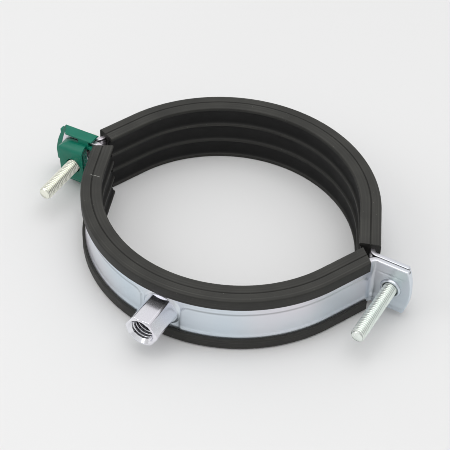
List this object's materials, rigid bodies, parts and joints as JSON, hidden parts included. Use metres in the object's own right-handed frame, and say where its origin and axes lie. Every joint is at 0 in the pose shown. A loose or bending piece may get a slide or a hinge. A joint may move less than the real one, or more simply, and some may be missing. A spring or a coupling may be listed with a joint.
{
  "type": "rubber lined pipe clamp",
  "caption": "Two-part steel pipe clamp with rubber lining, a long threaded hexagon nut, two closing screws and a plastic lock clip.",
  "frame": {"origin": "on the pipe axis, at the middle of the rubber's height, midway between the arc centres of the two halves", "axes": "+Z along the pipe axis, +X from the ears with the lock clip to the plain ears, -Y towards the connection nut's mouth"},
  "size_m": [0.1732, 0.136, 0.028],
  "materials": {
    "zinc_strap": "bright blue zinc plating",
    "zinc_nut": "bright zinc plating",
    "zinc_screw": "bright zinc plating with a pale green tint",
    "rubber": "matt extruded rubber",
    "green_plastic": "satin moulded plastic"
  },
  "bodies": {
    "lower_half": {"lower_band": "zinc_strap", "lower_liner": "rubber", "connection_nut": "zinc_nut", "lock_clip": "green_plastic"},
    "upper_half": {"upper_band": "zinc_strap", "upper_liner": "rubber"},
    "right_fastener": {"right_screw": "zinc_screw"},
    "left_fastener": {"left_screw": "zinc_screw"}
  },
  "joints": [
    {"name": "closing_travel", "type": "slide", "parent": "lower_half", "child": "upper_half", "axis": [0, 1, 0], "range_m": [0, 0.0023]},
    {"name": "right_screw_spin", "type": "hinge", "parent": "upper_half", "child": "right_fastener", "pos_m": [0.07556, 0, 0], "axis": [0, 1, 0], "range_deg": [0, 830]},
    {"name": "left_screw_spin", "type": "hinge", "parent": "upper_half", "child": "left_fastener", "pos_m": [-0.07324, 0, 0], "axis": [0, 1, 0], "range_deg": [0, 830]}
  ],
  "couplings": [
    {"joint": "right_screw_spin", "follows": "closing_travel", "rad_per_m": 6283.2},
    {"joint": "left_screw_spin", "follows": "closing_travel", "rad_per_m": 6283.2}
  ]
}
